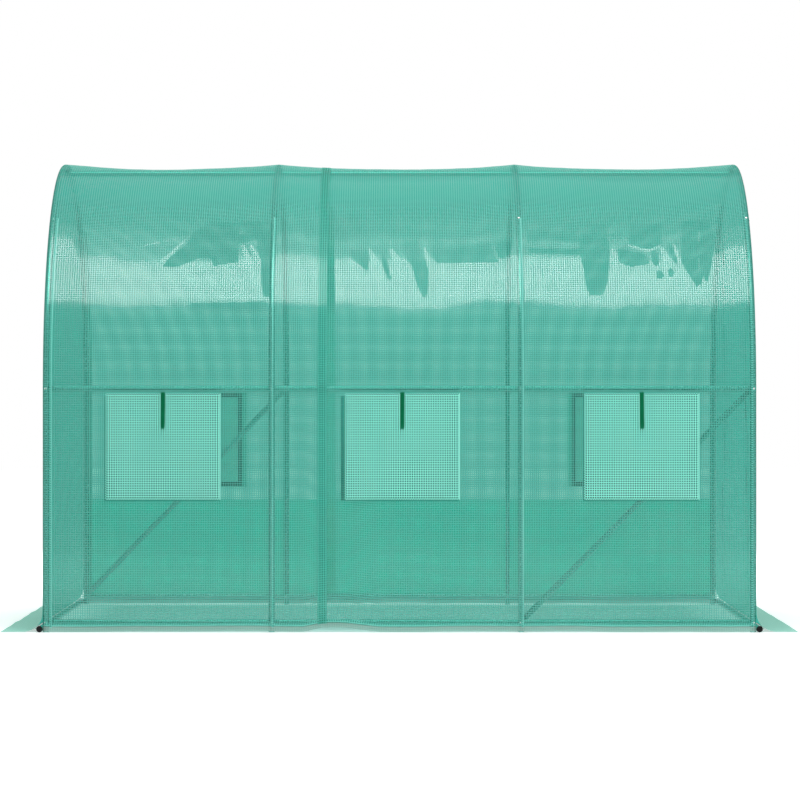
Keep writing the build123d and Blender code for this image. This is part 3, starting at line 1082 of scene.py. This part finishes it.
# Where the nut sits on a brace
braced = {(THIRD_HOOP, FRONT, BASE_BAR), (END_HOOP, FRONT, LEG),
          (-END_HOOP, BACK, BASE_BAR), (SECOND_HOOP, BACK, LEG)}
ends, heads = [], []
for hoop in HOOPS:
    for side in (FRONT, BACK):
        for height in (LEG, BASE_BAR):
            inner = BRACE - TUBE if (hoop, side, height) in braced else RAIL - TUBE
            ends.append(((hoop, side * inner, height), (0, -side, 0)))
            heads.append(((hoop, side * HALF_WIDTH, height), (0, side, 0), 0.0006))
    ends.append(((hoop, 0, RIDGE - TUBE), (0, 0, -1)))
fasteners("rail_bolts", ends, heads)

ends, heads = [], []
for hoop in HOOPS:
    for turn in np.radians(BOLT_ANGLES):
        way = Vector((0, -math.cos(turn), math.sin(turn)))
        spring = Vector((hoop, 0, LEG))
        ends.append((spring + way * (HALF_WIDTH - 2 * TUBE), -way))
        heads.append((spring + way * HALF_WIDTH, way, 0.0044 if hoop > 0 else 0.0012))
for turn in np.radians(BOLT_ANGLES):
    ends.append(((HALF_LENGTH + 0.0012, -HOOP * math.cos(turn), LEG + HOOP * math.sin(turn)), (1, 0, 0)))
fasteners("hoop_bolts", ends, heads)

ends = []
verts, faces = [], []
for end in (LEFT, RIGHT):
    for side in (FRONT, BACK):
        ends.append(((end * (CROSSBAR + TUBE), side * HOOP, TUBE), (end, 0, 0)))
        prism(verts, faces, (end * CROSSBAR, side * CAP_OUT, CAP_HEIGHT), (0, side, 0), CAP, 32)
fasteners("crossbar_bolts", ends, [])
attach(make_object("crossbar_caps", verts, faces, black, smooth=False))


# CAD nodes that stay as they are
TUBES = ("hoop_", "ridge_", "side_rails", "base_bars", "left_crossbar", "right_crossbar",
         "front_brace", "back_brace")
finishes = {name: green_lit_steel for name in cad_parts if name.startswith(TUBES)}
finishes["crossbar_plugs"] = black
for name, finish in finishes.items():
    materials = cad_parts[name].data.materials
    materials.clear()
    materials.append(finish)


# Floor, lights and camera


def seen_rays(tree):
    """1 for rays that show the background: from the camera, mirrored or let through unscattered."""
    rays = add_node(tree, "LightPath").outputs
    mirrored = maths(tree, "MAXIMUM", rays["Is Camera Ray"], rays["Is Glossy Ray"])
    through = maths(tree, "SUBTRACT", rays["Is Transmission Ray"], rays["Is Diffuse Ray"], clamp=True)
    return maths(tree, "MAXIMUM", mirrored, through)


# The pale floor glows a little for those rays, more so away from the tunnel
floor_mesh = bpy.data.meshes.new("floor")
floor_mesh.from_pydata([(-30, -19, 0), (30, -19, 0), (30, 30, 0), (-30, 30, 0)], [], [(0, 1, 2, 3)])
floor = bpy.data.objects.new("floor", floor_mesh)
floor.location.z = -0.0006
bpy.context.scene.collection.objects.link(floor)
floor_mat, tree, out = new_material("floor")
spot = add_node(tree, "SeparateXYZ", {0: add_node(tree, "TexCoord").outputs["Object"]}).outputs
off_x = maths(tree, "SUBTRACT", maths(tree, "ABSOLUTE", spot[0]), HALF_LENGTH)
off_y = maths(tree, "SUBTRACT", maths(tree, "ABSOLUTE", spot[1]), HALF_WIDTH)
off = maths(tree, "MAXIMUM", off_x, off_y)
near = ramp(tree, off, -0.2, 0.04, 0.14, 0.46)
far = ramp(tree, off, 0.04, 1.4, 0.0, 0.26)
strength = maths(tree, "MULTIPLY", seen_rays(tree), maths(tree, "ADD", near, far))
plain = add_node(tree, "BsdfDiffuse", {"Color": (0.82, 0.82, 0.82)})
glow = add_node(tree, "Emission", {"Color": (1.0, 1.0, 1.0), "Strength": strength})
both = add_node(tree, "AddShader", {0: plain.outputs[0], 1: glow.outputs[0]})
tree.links.new(both.outputs[0], out.inputs["Surface"])
floor_mesh.materials.append(floor_mat)

# The background is white for those rays and dimmer as a light
world = bpy.data.worlds.new("studio")
bpy.context.scene.world = world
world.use_nodes = True
tree = world.node_tree
tree.nodes.clear()
seen = maths(tree, "MULTIPLY", seen_rays(tree), 0.65)
strength = maths(tree, "ADD", seen, 0.35)
sky = add_node(tree, "Background", {"Color": (1.0, 1.0, 1.0), "Strength": strength})
add_node(tree, "OutputWorld", {"Surface": sky.outputs[0]})


def softbox(name, place, aim, size, power):
    """A rectangular soft light that faces a point."""
    lamp = bpy.data.lights.new(name, "AREA")
    lamp.shape = "RECTANGLE"
    lamp.size, lamp.size_y = size
    lamp.energy = power
    obj = bpy.data.objects.new(name, lamp)
    obj.location = place
    obj.rotation_euler = (Vector(aim) - Vector(place)).to_track_quat("-Z", "Y").to_euler()
    obj.visible_camera = False
    bpy.context.scene.collection.objects.link(obj)
    return obj


softbox("overhead", (0, -3.25, 5.0), (0, -3.25, 0), (4.1, 2.6), 178)
softbox("overhead_fill", (0, -1.45, 5.0), (0, -1.45, 0), (4.1, 1.0), 16)
softbox("overhead_back", (0.2, 1.2, 5.0), (0.2, 1.2, 0), (5.0, 4.2), 36)
front = softbox("key", (4.6, -10.2, 3.2), (0, -1.0, 1.0), (2.2, 6.0), 440)
front.visible_glossy = False
rear = softbox("behind", (-0.3, 5.5, 3.2), (-0.3, 1.0, 1.0), (5.0, 3.0), 200)
rear.visible_glossy = False

camera = bpy.data.cameras.new("camera")
camera.sensor_width = 36
camera.lens = 163.8
camera.shift_y = -0.015
camera.clip_end = 200
eye = bpy.data.objects.new("camera", camera)
eye.location = (0.002, -16.3, 1.027)
eye.rotation_euler = (math.pi / 2, 0, 0)
bpy.context.scene.collection.objects.link(eye)
bpy.context.scene.camera = eye
bpy.context.scene.view_settings.view_transform = "Standard"
